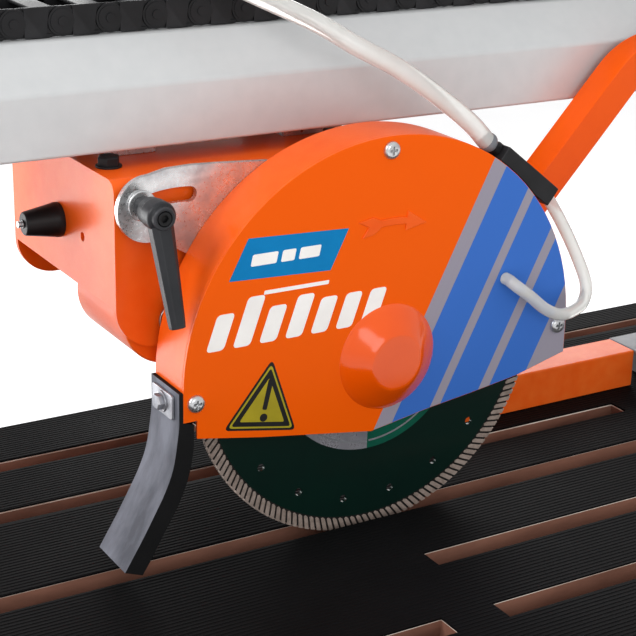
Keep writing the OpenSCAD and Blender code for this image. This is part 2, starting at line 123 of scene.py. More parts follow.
# %% [markdown]
# A real finish is never one flat colour. Powder paint has a fine orange peel, zinc has spangles and
# rubber holds dust. One helper can build all of them: a broad noise shifts the colour, a second noise
# changes the gloss, a fine noise raises the surface, and the sharp edges get a little lighter where paint
# and metal wear.

# %% Build a finish from noises


def add_node(tree, kind, feeds=None, **settings):
    """Adds a shader node, sets its options and either links or sets each of its inputs."""
    node = tree.nodes.new("ShaderNode" + kind)
    for key, value in settings.items():
        setattr(node, key, value)
    for key, value in (feeds or {}).items():
        if isinstance(value, bpy.types.NodeSocket):
            tree.links.new(value, node.inputs[key])
        else:
            node.inputs[key].default_value = value
    return node


def blend_colours(tree, factor, first, second):
    """Mixes two colours or colour sockets by a factor."""
    mix = add_node(tree, "Mix", {0: factor, 6: first, 7: second}, data_type="RGBA")
    return mix.outputs[2]


def remap(tree, value, low, high, to_low=0.0, to_high=1.0):
    """Stretches a value from one range to another and stops at its ends."""
    feeds = {"Value": value, "From Min": low, "From Max": high, "To Min": to_low, "To Max": to_high}
    return add_node(tree, "MapRange", feeds).outputs["Result"]


def finish(name, colour, mottle, gloss=(0.35, 0.5), metal=0.0, patch=14, grain=700, relief=0.03,
           coat=0.0, worn=None, stretch=(1, 1, 1), paint=None, clear=0.0, shine=0.22):
    """A procedural finish: colour drifts to mottle, gloss sets the roughness, worn lightens the edges."""
    material = bpy.data.materials.new(name)
    material.use_nodes = True
    tree = material.node_tree
    shader = tree.nodes["Principled BSDF"]
    place = add_node(tree, "TexCoord").outputs["Object"]
    drawn = add_node(tree, "Mapping", {"Vector": place, "Scale": stretch}).outputs["Vector"]
    broad = add_node(tree, "TexNoise", {"Vector": drawn, "Scale": patch, "Detail": 6, "Roughness": 0.62})
    fine = add_node(tree, "TexNoise", {"Vector": drawn, "Scale": grain, "Detail": 3, "Roughness": 0.6})
    drift = remap(tree, broad.outputs["Fac"], 0.36, 0.66)
    base = blend_colours(tree, drift, colour, mottle)
    if paint:
        base = paint(tree, place, base)
    if worn:
        bend = add_node(tree, "NewGeometry").outputs["Pointiness"]
        edge = remap(tree, bend, 0.515, 0.60)
        patchy = add_node(tree, "TexNoise", {"Vector": place, "Scale": 90, "Detail": 4})
        both = {0: edge, 1: patchy.outputs["Fac"]}
        rubbed = add_node(tree, "Math", both, operation="MULTIPLY").outputs[0]
        base = blend_colours(tree, rubbed, base, worn)
    tree.links.new(base, shader.inputs["Base Color"])
    both = {0: broad.outputs["Fac"], 1: fine.outputs["Fac"]}
    mixed = add_node(tree, "Math", both, operation="ADD").outputs[0]
    tree.links.new(remap(tree, mixed, 0.75, 1.25, *gloss), shader.inputs["Roughness"])
    bump = add_node(tree, "Bump", {"Height": fine.outputs["Fac"], "Distance": relief * MM, "Strength": 0.8})
    tree.links.new(bump.outputs["Normal"], shader.inputs["Normal"])
    shader.inputs["Metallic"].default_value = metal
    shader.inputs["Specular IOR Level"].default_value = shine
    shader.inputs["Coat Weight"].default_value = coat
    shader.inputs["Coat Roughness"].default_value = 0.12
    if clear:
        shader.inputs["Transmission Weight"].default_value = clear
        shader.inputs["IOR"].default_value = 1.42
    return material


print("finish() is ready")

# %% [markdown]
# The cover carries a sticker of slanted blue and grey bands. A band is a set of points with the same
# value of "distance to the right minus half the height", so a stepped ramp over that value paints them
# all at once.

# %% Paint the slanted bands
BANDS = (("orange", 0), ("grey", 15.5), ("blue", 28.1), ("grey", 54.3), ("blue", 61.3), ("grey", 89.1),
         ("blue", 97.3), ("grey", 124.2))
BAND_COLOURS = {"orange": tint(246, 94, 2), "grey": tint(150, 150, 164), "blue": tint(38, 112, 200)}
BAND_LEAN = 0.495
BAND_REACH = 160


def slanted_bands(tree, place, base):
    """Steps between the sticker's colours, and keeps the paint's own drift in each of them."""
    split = add_node(tree, "SeparateXYZ", {"Vector": place})
    lean = add_node(tree, "Math", {0: split.outputs["Z"], 1: -BAND_LEAN, 2: split.outputs["X"]},
                    operation="MULTIPLY_ADD").outputs[0]
    start = AXIS.x - BAND_LEAN * AXIS.z
    along = remap(tree, lean, start, start + BAND_REACH * MM)
    ramp = add_node(tree, "ValToRGB", {"Fac": along})
    stops = ramp.color_ramp
    stops.interpolation = "CONSTANT"
    while len(stops.elements) < len(BANDS):
        stops.elements.new(0.5)
    for stop, (colour, distance) in zip(stops.elements, BANDS):
        stop.position = distance / BAND_REACH
    for stop, (colour, distance) in zip(stops.elements, BANDS):
        stop.color = BAND_COLOURS[colour]
    return blend_colours(tree, 0.03, ramp.outputs["Color"], base)


print(len(BANDS), "bands on the cover")

# %% [markdown]
# Now the finishes that this saw needs. The orange is a semi-gloss powder coat, the beam is satin anodised
# aluminium, and the swing plate and screws are bright zinc.

# %% Make the finishes
ORANGE = finish("orange powder coat", tint(243, 88, 2), tint(234, 80, 1), (0.28, 0.4), grain=900,
                relief=0.02, coat=0.06, worn=tint(250, 132, 60), shine=0.13)
BANDED = finish("cover sticker", tint(246, 94, 2), tint(238, 88, 1), (0.32, 0.44), grain=900,
                relief=0.012, coat=0.02, paint=slanted_bands, shine=0.06)
GLOSSY = finish("glossy orange", tint(243, 90, 2), tint(236, 84, 1), (0.09, 0.15), grain=900, relief=0.01,
                coat=0.5, worn=tint(250, 132, 60), shine=0.25)
SATIN = finish("satin anodised", tint(200, 202, 203), tint(190, 193, 195), (0.36, 0.46), 0.15, patch=5,
               grain=500, relief=0.01, worn=tint(222, 222, 222), stretch=(0.1, 1, 1), shine=0.4)
ZINC = finish("bright zinc", tint(214, 215, 216), tint(158, 160, 164), (0.2, 0.44), 0.9, patch=60,
              grain=420, relief=0.015, worn=tint(240, 240, 240), shine=0.5)
DULL_ZINC = finish("dull zinc", tint(150, 152, 160), tint(104, 106, 114), (0.34, 0.55), 0.75, patch=70,
                   grain=420, relief=0.02, worn=tint(235, 235, 238), shine=0.4)
STEEL = finish("ground steel", tint(176, 178, 182), tint(150, 152, 156), (0.25, 0.4), 1.0, patch=25,
               grain=900, relief=0.015, stretch=(1, 6, 1), worn=tint(220, 220, 222), shine=0.5)
RUBBER = finish("black rubber", tint(16, 16, 17), tint(26, 26, 27), (0.6, 0.8), patch=10, grain=1200,
                relief=0.05, shine=0.15)
# Grey rubber for the flap's faces that point left.
LEFT_FACE_GREY = finish("grey rubber face", tint(126, 129, 140), tint(90, 92, 100), (0.6, 0.8), patch=26, grain=500,
               relief=0.06, stretch=(1, 1.6, 0.5), shine=0.15)
PLASTIC = finish("black moulding", tint(14, 14, 15), tint(24, 24, 26), (0.36, 0.5), patch=30, grain=1500,
                 relief=0.03, worn=tint(48, 48, 50), shine=0.2)
LEVER = finish("charcoal moulding", tint(34, 35, 38), tint(44, 45, 48), (0.32, 0.48), patch=30,
               grain=1600, relief=0.04, worn=tint(70, 70, 74), shine=0.25)
MAT = finish("ribbed mat", tint(8, 8, 9), tint(14, 14, 15), (0.58, 0.74), patch=8, grain=900, relief=0.03,
             shine=0.07)
# Partly painted light: the metal is brownish grey, and the warm tan stands for orange light reflected from
# the saw into the slots.
PLATE = finish("dull table metal", tint(158, 112, 94), tint(122, 84, 70), (0.45, 0.65), 0.1, patch=30,
               grain=400, relief=0.05, stretch=(0.3, 1, 1))
# A painted highlight: a light finish for the rounded top edges of the table plates.
EDGE_HIGHLIGHT = finish("painted edge highlight", tint(236, 224, 212), tint(186, 164, 150), (0.3, 0.45), 0.3, patch=60,
              grain=400, relief=0.03, stretch=(0.3, 1, 1), shine=0.5)
GREY = finish("grey paint", tint(120, 123, 128), tint(104, 107, 112), (0.35, 0.5), patch=16, relief=0.02,
              worn=tint(160, 162, 166))
MOTOR = finish("dark motor paint", tint(60, 62, 66), tint(48, 50, 54), (0.4, 0.55), patch=20, relief=0.04,
               worn=tint(110, 112, 116))
COPPER = finish("varnished copper", tint(176, 96, 48), tint(140, 70, 34), (0.3, 0.45), 0.8, patch=60)
GREEN = finish("green lacquer", tint(12, 40, 33), tint(8, 32, 27), (0.28, 0.42), 0.2, patch=12, grain=800,
               relief=0.01, coat=0.3)
DIAMOND = finish("sintered rim", tint(168, 150, 140), tint(120, 104, 94), (0.5, 0.75), 0.35, patch=260,
                 grain=1800, relief=0.12, worn=tint(205, 190, 180))
SINTER = finish("rim between tiles", tint(40, 36, 34), tint(26, 24, 23), (0.6, 0.8), 0.2, patch=200,
                relief=0.08)
CLEAR = finish("milky hose", tint(244, 243, 240), tint(234, 233, 229), (0.08, 0.16), patch=30, grain=300,
               relief=0.01, clear=0.5, shine=0.5)
TRAY = finish("grey tray plastic", tint(60, 62, 66), tint(48, 50, 54), (0.45, 0.6), patch=6, grain=600,
              relief=0.04, worn=tint(90, 92, 96))
WHITE = finish("white print", tint(255, 252, 248), tint(246, 242, 238), (0.35, 0.45), patch=30,
               relief=0.01)
PANEL = finish("blue print", tint(14, 128, 190), tint(12, 120, 180), (0.32, 0.42), patch=30, relief=0.01,
               shine=0.06)
INK = finish("black print", tint(20, 20, 20), tint(30, 30, 29), (0.3, 0.42), patch=40, relief=0.01)
YELLOW = finish("yellow print", tint(176, 160, 34), tint(160, 146, 30), (0.32, 0.44), patch=40,
                relief=0.01)
LABEL = finish("green print", tint(20, 104, 82), tint(14, 90, 72), (0.3, 0.42), 0.2, patch=40,
               relief=0.01)
FOIL = finish("silver print", tint(190, 190, 198), tint(158, 158, 168), (0.25, 0.4), 0.6, patch=40,
              relief=0.01)
print(len(bpy.data.materials), "finishes made")

# %% [markdown]
# Meshes are built in three ways here. A prism pulls a flat outline along a line, a lathe turns a profile
# round an axis, and a tube follows a path. Each works in millimetres, and "place" says how its own
# directions lie.

# %% Pull, turn and sweep shapes
TIP = 0.01  # the smallest radius of a turned point


def front_view(x=0, z=0):
    """Outline drawn as seen from the front of the saw, pulled from front to back."""
    return lambda u, v, w: Vector((x + u, w, z + v))


def side_view(y=0, z=0):
    """Outline drawn as seen from the side, pulled along the beam."""
    return lambda u, v, w: Vector((w, y + u, z + v))


def top_view(x=0, y=0):
    """Outline drawn as seen from above, pulled upwards."""
    return lambda u, v, w: Vector((x + u, y + v, w))


def skin(bm, rings, closed=False):
    """Joins rings of points into one surface, and closes its two ends unless the rings meet."""
    rows = [[bm.verts.new(point) for point in ring] for ring in rings]
    count = len(rows[0])
    last = len(rows) if closed else len(rows) - 1
    for k in range(last):
        low_row, high_row = rows[k], rows[(k + 1) % len(rows)]
        for i in range(count):
            j = (i + 1) % count
            bm.faces.new((low_row[i], low_row[j], high_row[j], high_row[i]))
    if not closed:
        bm.faces.new(rows[0][::-1])
        bm.faces.new(rows[-1])


def prism(bm, outline, start, end, place):
    """Pulls an outline from start to end."""
    skin(bm, [[place(u, v, w) for u, v in outline] for w in (start, end)])


def circle(radius, steps=32, x=0, y=0):
    """Points round a circle."""
    angles = [2 * math.pi * k / steps for k in range(steps)]
    return [(x + radius * math.cos(a), y + radius * math.sin(a)) for a in angles]


def lathe(bm, profile, place, steps=40):
    """Turns (radius, distance) points round an axis."""

    def ring(radius, distance):
        return [place(u, v, distance) for u, v in circle(max(radius, TIP), steps)]

    skin(bm, [ring(radius, distance) for radius, distance in profile])


def rounded(outline, radius, steps=5):
    """Rounds the corners of an outline."""
    made = []
    for k, corner in enumerate(outline):
        here = Vector(corner)
        before, after = Vector(outline[k - 1]) - here, Vector(outline[(k + 1) % len(outline)]) - here
        reach = min(radius, before.length * 0.45, after.length * 0.45)
        first, last = here + before.normalized() * reach, here + after.normalized() * reach
        for s in range(steps + 1):
            t = s / steps
            made.append(tuple((1 - t) ** 2 * first + 2 * t * (1 - t) * here + t * t * last))
    return made


def curve_through(points, steps):
    """A smooth curve through the points, straight in its first and last stretch."""
    pts = [Vector(p) for p in points]
    made = [pts[0]]
    for k in range(1, len(pts) - 2):
        a, b, c, d = pts[k - 1], pts[k], pts[k + 1], pts[k + 2]
        for s in range(steps):
            t = s / steps
            made.append(0.5 * (2 * b + (c - a) * t + (2 * a - 5 * b + 4 * c - d) * t * t
                               + (3 * b - 3 * c + d - a) * t ** 3))
    return made + pts[-2:]


def tube(bm, path, radius, sides=20):
    """Sweeps a circle along a path without twisting it."""
    rings = []
    across_path = None
    for k, point in enumerate(path):
        ahead = (path[min(k + 1, len(path) - 1)] - path[max(k - 1, 0)]).normalized()
        start = across_path if across_path else Vector((0, 1, 0.3))
        across_path = (start - ahead * start.dot(ahead)).normalized()
        other = ahead.cross(across_path)
        rings.append([point + across_path * u + other * v for u, v in circle(radius, sides)])
    skin(bm, rings)


print("shape tools are ready")

# %% [markdown]
# A real edge is never perfectly sharp: a bent sheet has a radius, and a casting has a small round. The
# Bevel modifier makes that round on every edge that turns by more than a set angle. Weighted normals then
# keep the flat faces flat. The result is applied, so the piece's mesh is final.

# %% Round the edges and shade


def apply_modifiers(piece):
    """Replaces the mesh by what the modifiers make of it."""
    seen = piece.evaluated_get(bpy.context.evaluated_depsgraph_get())
    made = bpy.data.meshes.new_from_object(seen)
    piece.modifiers.clear()
    piece.data = made


def round_and_shade(piece, width, crease=34, segments=2):
    """Rounds edges by width in millimetres, then shades the surface smooth up to the crease angle."""
    if width:
        bevel = piece.modifiers.new("round", "BEVEL")
        bevel.width = width * MM
        bevel.segments = segments
        bevel.limit_method = "ANGLE"
        bevel.angle_limit = math.radians(crease)
        apply_modifiers(piece)
    piece.data.shade_smooth()
    piece.data.set_sharp_from_angle(angle=math.radians(crease))
    weighted = piece.modifiers.new("flat faces", "WEIGHTED_NORMAL")
    weighted.keep_sharp = True
    apply_modifiers(piece)


def make_piece(name, bm, finishes, round_by=0.0, origin=AXIS, crease=34, segments=2, choose=None):
    """Turns a drawn shape into an object in the frame, with its finishes."""
    bmesh.ops.recalc_face_normals(bm, faces=bm.faces)
    bmesh.ops.transform(bm, matrix=Matrix.Translation(origin) @ Matrix.Scale(MM, 4), verts=bm.verts)
    mesh = bpy.data.meshes.new(name)
    bm.to_mesh(mesh)
    bm.free()
    piece = bpy.data.objects.new(name, mesh)
    scene.collection.objects.link(piece)
    for one in finishes:
        mesh.materials.append(one)
    round_and_shade(piece, round_by, crease, segments)
    if choose:
        for face in piece.data.polygons:
            face.material_index = choose(face)
    return piece


def settle(piece, body, slot, *stands_for):
    """Puts a piece on its body and hides the plain parts it stands for; the slot argument is not used."""
    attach(piece, body)
    if stands_for:
        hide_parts(*stands_for)
    print(piece.name, "rides on", body, "with", len(piece.data.polygons), "faces")
    return piece


print("edges will be rounded before shading")

# %% [markdown]
# The two water hoses come next, since they hang free. The supply hose leaves the black block on the guard
# and climbs to the arm on the carriage. It is a mesh tube.

# %% Lay the supply hose
BIG_D, SMALL_D = 12, 8
supply_points = [(77.8, -8, 124.6), (74.7, -8, 127.1), (64, -5, 139), (44, 2, 156), (19, 10, 174),
                 (-4, 20, 187), (-26, 32, 201), (-54, 48, 215), (-80, 70, 228.5), (-86, 77.6, 234.5),
                 (-88, 80, 239.5), (-88, 80, 243.2)]
guard_points = [(123.1, -8, 86.9), (126.4, -8, 84.3), (137, -12, 66), (146, -18, 45), (150, -25, 27),
                (146, -29, 17), (137, -32, 13), (124, -33, 12), (111, -33, 18), (99, -32, 28),
                (89, -29, 36), (88, -23, 38), (88, -19.3, 38)]


def lay_hose(name, points, diameter, node):
    """Makes a hose as a mesh tube and returns it with its path in metres."""
    path = curve_through(points, 6)
    bm = bmesh.new()
    tube(bm, path, diameter / 2, 24)
    hose = make_piece(name, bm, [CLEAR], crease=60)
    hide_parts(node)
    line = [AXIS + MM * point for point in path]
    length = sum((b - a).length for a, b in zip(line, line[1:]))
    print(name, "is", round(length, 3), "m long")
    return hose, line, length


supply_hose, supply_line, supply_length = lay_hose("supply_hose", supply_points, BIG_D, "hose_big")
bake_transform(supply_hose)

# %% [markdown]
# The thin hose runs from the same block round the guard's right side and back into the cover. Both of its
# ends are on the head, so it simply rides there.

# %% Lay the guard hose
guard_hose, guard_line, guard_length = lay_hose("guard_hose", guard_points, SMALL_D, "hose_small")
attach(guard_hose, "head")

# %% [markdown]
# Sheet metal parts have the right shape already, but their edges are knife sharp. A copy of the part's
# mesh is cleaned of its extra triangles, and its edges are rounded. The copy stands in for the plain
# part. The handle is drawn tube with soft corners, so it gets the widest round, in more steps.

# %% Soften the sheet metal and castings
SAME_POINT = 0.000005


def soften(node, finishes, slot, width=0.8, crease=34, segments=2, choose=None, name=None):
    """Copies a part, rounds its edges and puts the copy in its place."""
    bm = bmesh.new()
    bm.from_mesh(parts[node].data)
    bmesh.ops.remove_doubles(bm, verts=bm.verts, dist=SAME_POINT)
    bmesh.ops.dissolve_limit(bm, angle_limit=math.radians(0.5), verts=bm.verts, edges=bm.edges)
    mesh = bpy.data.meshes.new(name or node + "_made")
    bm.to_mesh(mesh)
    bm.free()
    piece = bpy.data.objects.new(name or node + "_made", mesh)
    scene.collection.objects.link(piece)
    mesh.materials.clear()
    for one in finishes:
        mesh.materials.append(one)
    for face in mesh.polygons:
        face.material_index = 0
    round_and_shade(piece, width, crease, segments)
    if choose:
        for face in piece.data.polygons:
            face.material_index = choose(face)
    return settle(piece, body_of[node], slot, node)


SOFTENED = (
    (ORANGE, "orange_paint", 1.6, "carriage_frame legs rails crossbars braces tilt_brackets end_plates "
     "head_arm swing_tube tray_straps"),
    (ORANGE, "orange_paint", 3.0, "fence_bar"),
    (SATIN, "aluminium", 5.0, "beam"),
    (GREY, "grey_paint", 1.2, "fence_plate"),
    (ZINC, "plated_steel", 0.7, "swing_plate hangers tow_bracket chain_anchor clamp_stud"),
    (STEEL, "steel", 0.5, "pivot_pin tilt_pins flange_outer flange_inner blade_nut bearings"),
    (RUBBER, "rubber", 1.5, "feet end_stops"),
    (PLASTIC, "black_plastic", 0.8, "rollers_left rollers_right fan_cover drain_spout"),
    (TRAY, "black_plastic", 2.0, "water_tray"),
    (MOTOR, "grey_paint", 1.0, "motor_flange motor_cap"),
)
for one_finish, one_slot, one_width, nodes in SOFTENED:
    for node in nodes.split():
        soften(node, [one_finish], one_slot, one_width)

soften("handle_tube", [ORANGE], "orange_paint", 6.0, segments=5)

# %% [markdown]
# The table plates are metal under the rubber. Their walls are dull, and their tan is partly painted
# reflection of the orange saw.
# The rounded top edges carry a painted highlight, so the faces that slope get a light finish of their own.

# %% Paint a highlight on the edges of the table plates


def on_the_round(face):
    """1 for a face that slopes upwards, which is the rounded edge, and 0 for the rest."""
    return int(0.15 < face.normal.z < 0.97)


# The sloping faces get the painted edge highlight.
for node in ("table_plate_front", "table_plate_rear"):
    soften(node, [PLATE, EDGE_HIGHLIGHT], "table_metal", 0.9, choose=on_the_round)

# %% [markdown]
# Parts that are hidden inside the motor or that are round already keep their own mesh. They only get a
# finish, by filling the material slots of their object.

# %% Finish the parts that keep their shape
KEPT = ((GREEN, "blade_core"), (STEEL, "spindle_shaft"), (PLASTIC, "fan"), (COPPER, "motor_stator"))
for one_finish, nodes in KEPT:
    for node in nodes.split():
        parts[node].data.materials.clear()
        parts[node].data.materials.append(one_finish)
        print(node, "keeps its shape in", one_finish.name)

# %% [markdown]
# The blade guard is a pressed sheet cover on a rolled rim. The cover's flat front carries the bands,
# while its rounded edge and the glossy dome over the shaft stay orange, so three finishes are given face
# by face.

# %% Make the guard
DOME_R = 34.6
COVER_FACE = -19
FLAT = 0.995


def cover_finish(face):
    """0 for the rounded edge, 1 for the flat front and 2 for the dome."""
    from_axis = Vector((face.center.x - AXIS.x, face.center.z - AXIS.z)).length / MM
    depth = (face.center.y - AXIS.y) / MM
    if face.normal.y < -FLAT and abs(depth - COVER_FACE) < 0.5:
        return 1
    return 2 if from_axis < DOME_R and depth < COVER_FACE else 0


soften("guard_cover", [ORANGE, BANDED, GLOSSY], "orange_paint", 1.3, choose=cover_finish)
soften("guard_shell", [ORANGE], "orange_paint", 1.0)

# %% [markdown]
# A long arrow is pressed into the sheet above the dome to show which way the blade turns. It is a bent
# strip with a feathered tail and a pointed head, raised by less than a millimetre, with rounded edges
# that catch the light.

# %% Press the turning arrow
ARROW_R = 87.5
TAIL, SHAFT, HEAD = 5.5, 2.3, 6.3


def arc_point(radius, x):
    """A point on a circle round the blade axis, above a distance x."""
    return (x * radius / ARROW_R, math.sqrt(radius ** 2 - (x * radius / ARROW_R) ** 2))


arrow = [arc_point(ARROW_R + TAIL, -23), arc_point(ARROW_R + TAIL, -13)]
arrow += [arc_point(ARROW_R + SHAFT, x) for x in range(-8, 11, 3)]
arrow += [arc_point(ARROW_R + HEAD, 10), arc_point(ARROW_R, 25), arc_point(ARROW_R - HEAD, 10)]
arrow += [arc_point(ARROW_R - SHAFT, x) for x in range(10, -9, -3)]
arrow += [arc_point(ARROW_R - TAIL, -13), arc_point(ARROW_R - TAIL, -23), arc_point(ARROW_R, -17)]
bm = bmesh.new()
prism(bm, arrow, COVER_FACE - 0.9, COVER_FACE + 0.5, front_view())
settle(make_piece("pressed_arrow", bm, [ORANGE], 0.6, segments=3), "head", "orange_paint")

# %% [markdown]
# The printed marks are plain shapes: a blue field with three pale bars, a thin line, a row of slanted
# pale bars, and a triangle with a bar and a disc. Each is a thin sticker with rounded corners on the
# cover's face.

# %% Stick on the printed marks
STICKER = 0.15


def sticker(name, outline, layer, one_finish, corner=1.0):
    """A thin printed shape; each layer lies on the one before."""
    bm = bmesh.new()
    face = COVER_FACE - layer * STICKER
    prism(bm, rounded(outline, corner), face - STICKER, face + 0.02, front_view())
    return settle(make_piece(name, bm, [one_finish]), "head", "orange_paint")


def scaled(outline, centre, factor):
    """The outline made smaller or larger about a point."""
    return [(centre[0] + (x - centre[0]) * factor, centre[1] + (z - centre[1]) * factor) for x, z in outline]


def slanted_bar(x, z, width, height, lean=0.22):
    """A bar that leans to the right."""
    return [(x, z), (x + width, z), (x + width + lean * height, z + height), (x + lean * height, z + height)]


sticker("name_field", [(-111, 65.8), (-42.8, 62.9), (-30.7, 87.4), (-98.4, 90.2)], 0, PANEL, 0.6)
for k, width in enumerate((17, 9, 14)):
    sticker(f"name_bar_{k + 1}", slanted_bar(-97 + (0, 20, 32)[k], 73, width, 7), 1, WHITE, 1.2)
sticker("maker_line", slanted_bar(-88, 54.5, 44, 2.4), 0, WHITE, 0.6)
BAR_HEIGHTS = (22, 30, 22, 26, 22, 22, 22)
for k, height in enumerate(BAR_HEIGHTS):
    sticker(f"maker_bar_{k + 1}", slanted_bar(-126 + 17.5 * k, 24.5, 11.5, height, 0.35), 0, WHITE, 3)

triangle = [(-81.7, 13), (-114.3, -27), (-64.9, -36.2)]
middle = (-87, -17)
sticker("caution_edge", triangle, 0, INK, 4)
sticker("caution_field", scaled(triangle, middle, 0.9), 1, YELLOW, 3)
sticker("caution_inner", scaled(triangle, middle, 0.82), 2, INK, 2)
sticker("caution_face", scaled(triangle, middle, 0.62), 3, YELLOW, 1.5)
sticker("caution_bar", [(-84.2, 1), (-88.6, -18), (-85.6, -18.8), (-81, 0)], 4, INK, 1)
sticker("caution_disc", circle(2.6, 16, -87.6, -23.4), 4, INK, 0.3)

# %% [markdown]
# Three pan-head screws with a cross slot hold the cover. A turned dome makes the head, and a Boolean
# modifier cuts the cross out of it.

# %% Turn the cover screws
SCREW_SPOTS = ((-2.5, 131.9), (-132.6, -5.8), (133, -1.1))
CROSS_LONG, CROSS_THIN = 2.6, 0.45
bm = bmesh.new()
cross = bmesh.new()
for x, z in SCREW_SPOTS:
    head = [(0, -19), (5.5, -19), (5.5, -19.8), (5.2, -20.9), (4.3, -21.7), (2.9, -22.1), (0, -22.2)]
    lathe(bm, head, front_view(x, z), 28)
    for wide, high in ((CROSS_LONG, CROSS_THIN), (CROSS_THIN, CROSS_LONG)):
        outline = [(-wide, -high), (wide, -high), (wide, high), (-wide, high)]
        prism(cross, outline, -23, -20.6, front_view(x, z))
screws = make_piece("pan_screws", bm, [ZINC], crease=40)
cutter = make_piece("cross_cutter", cross, [ZINC])
cut = screws.modifiers.new("cross", "BOOLEAN")
cut.object = cutter
cut.solver = "EXACT"
cut.use_self = True
apply_modifiers(screws)
bpy.data.objects.remove(cutter)
settle(screws, "head", "plated_steel", "cover_screws")

# %% [markdown]
# The blade's rim is a ring of small sintered tiles with slanted gaps between them, which carry water into
# the cut. One tile is drawn as a slanted four-sided prism and repeated round the ring.

# %% Build the toothed rim
TILES = 162
RIM_IN, RIM_OUT = 115.7, 124.95
TILE_SHARE = 0.68
TILE_SLANT = 0.040


def rim_point(radius, angle):
    """A point at an angle, moved round as it gets further out."""
    turned = angle + TILE_SLANT * (radius - RIM_IN) / (RIM_OUT - RIM_IN)
    return (radius * math.cos(turned), radius * math.sin(turned))


bm = bmesh.new()
step = 2 * math.pi / TILES
for k in range(TILES):
    middle_angle = k * step
    half = TILE_SHARE * step / 2
    outline = [rim_point(RIM_IN + 1.2, middle_angle - half), rim_point(RIM_OUT, middle_angle - half),
               rim_point(RIM_OUT, middle_angle + half), rim_point(RIM_IN + 1.2, middle_angle + half),
               rim_point(RIM_IN + 0.3, middle_angle)]
    prism(bm, outline, -1.4, 1.4, front_view())
settle(make_piece("rim_tiles", bm, [DIAMOND], 0.25), "spindle", "diamond_rim", "blade_rim")
bm = bmesh.new()
ring = [[front_view()(u, v, w) for u, v in circle(radius, TILES)]
        for radius, w in ((RIM_IN, -1.0), (123.9, -1.0), (123.9, 1.0), (RIM_IN, 1.0))]
skin(bm, ring, closed=True)
settle(make_piece("rim_band", bm, [SINTER]), "spindle", "diamond_rim")

# %% [markdown]
# A round paper label is glued to the blade's middle. One half is silver and the other green, and each has
# a thin ring near its edge. It turns with the blade, so it rides on the spindle.

# %% Glue on the blade label
LABEL_IN, LABEL_R = 42.2, 69
RING_IN, RING_OUT = 63.2, 64.4
BLADE_FACE = -1
PAPER = 0.06


def half_disc(start, end, inner, outer, steps=48):
    """A part of a ring between two angles in degrees."""
    angles = [math.radians(start + (end - start) * k / steps) for k in range(steps + 1)]
    points = [(outer * math.cos(a), outer * math.sin(a)) for a in angles]
    return points + [(inner * math.cos(a), inner * math.sin(a)) for a in reversed(angles)]


LABEL_PARTS = (("label_green", LABEL, -91, 89, LABEL_IN, LABEL_R, 0),
               ("label_silver", FOIL, 89, 269, LABEL_IN, LABEL_R, 0),
               ("label_ring_left", GREY, 90, 268, RING_IN, RING_OUT, 1),
               ("label_ring_right", FOIL, -90, 88, RING_IN, RING_OUT, 1))
for name, one_finish, start, end, inner, outer, layer in LABEL_PARTS:
    bm = bmesh.new()
    face = BLADE_FACE - layer * PAPER
    prism(bm, half_disc(start, end, inner, outer), face - 0.08, face + 0.01, front_view())
    settle(make_piece(name, bm, [one_finish]), "spindle", "green_core")

# %% [markdown]
# The clamp lever is moulded plastic: a round hub with a socket screw in its end, and a flat tapering arm.
# The hub is turned on a lathe profile, and the arm is skinned over rounded sections that get smaller
# downwards.

# %% Mould the clamp lever
HUB_X, HUB_Z = -148, 106.5
bm = bmesh.new()
hub = [(0, 16.9), (6.2, 16.9), (6.2, 9), (8.2, 7.5), (8.6, 2), (9, 1), (9.1, -7.5), (8.6, -9),
       (7.2, -9.6), (6.9, -12), (6.2, -12.6), (4.6, -12.6), (4.6, -9.4), (0, -9.4)]
lathe(bm, hub, front_view(HUB_X, HUB_Z), 40)
lean_side, lean_front = math.radians(3), math.radians(14)
along_arm = Vector((math.sin(lean_side), -math.sin(lean_front), -math.cos(lean_front))).normalized()
side_of_arm = Vector((1, 0, 0)) - along_arm * along_arm.x
side_of_arm.normalize()
front_of_arm = along_arm.cross(side_of_arm)
start_of_arm = Vector((HUB_X, -4.5, HUB_Z))
sections = []
ARM = ((0, 7.1, 5.2), (10, 6.8, 5.4), (16, 6.5, 5.6), (34, 5.8, 5.2), (62, 4.6, 4.5), (65.2, 4.3, 4.2))
FLAT_WIDE, FLAT_DEEP = 0.52, 0.55
for distance, half_wide, half_deep in ARM:
    near, low = half_wide * FLAT_WIDE, half_deep * FLAT_DEEP
    flat = [(-half_wide, -low), (-near, -half_deep), (near, -half_deep), (half_wide, -low), (half_wide, low),
            (near, half_deep), (-near, half_deep), (-half_wide, low)]
    centre = start_of_arm + along_arm * distance
    sections.append([centre + side_of_arm * u + front_of_arm * v for u, v in flat])
skin(bm, sections)
settle(make_piece("clamp_lever_arm", bm, [LEVER], 0.7, crease=20), "lever", "black_plastic", "clamp_lever")

bm = bmesh.new()
lathe(bm, [(0, -9.5), (4.3, -9.5), (4.3, -12.2), (3.9, -12.7), (2.6, -12.7)], front_view(HUB_X, HUB_Z), 32)
screw = make_piece("lever_screw", bm, [PLASTIC], crease=40)
hexagon = bmesh.new()
prism(hexagon, circle(2.3, 6), -14, -10.6, front_view(HUB_X, HUB_Z))
cutter = make_piece("hexagon_cutter", hexagon, [PLASTIC])
cut = screw.modifiers.new("socket", "BOOLEAN")
cut.object = cutter
cut.solver = "EXACT"
apply_modifiers(screw)
bpy.data.objects.remove(cutter)
settle(screw, "lever", "black_plastic")

# %% [markdown]
# A rubber bumper stops the carriage at the beam's end. It is a blunt cone with a rolled edge at its base
# and a threaded stud that shows in its tip.

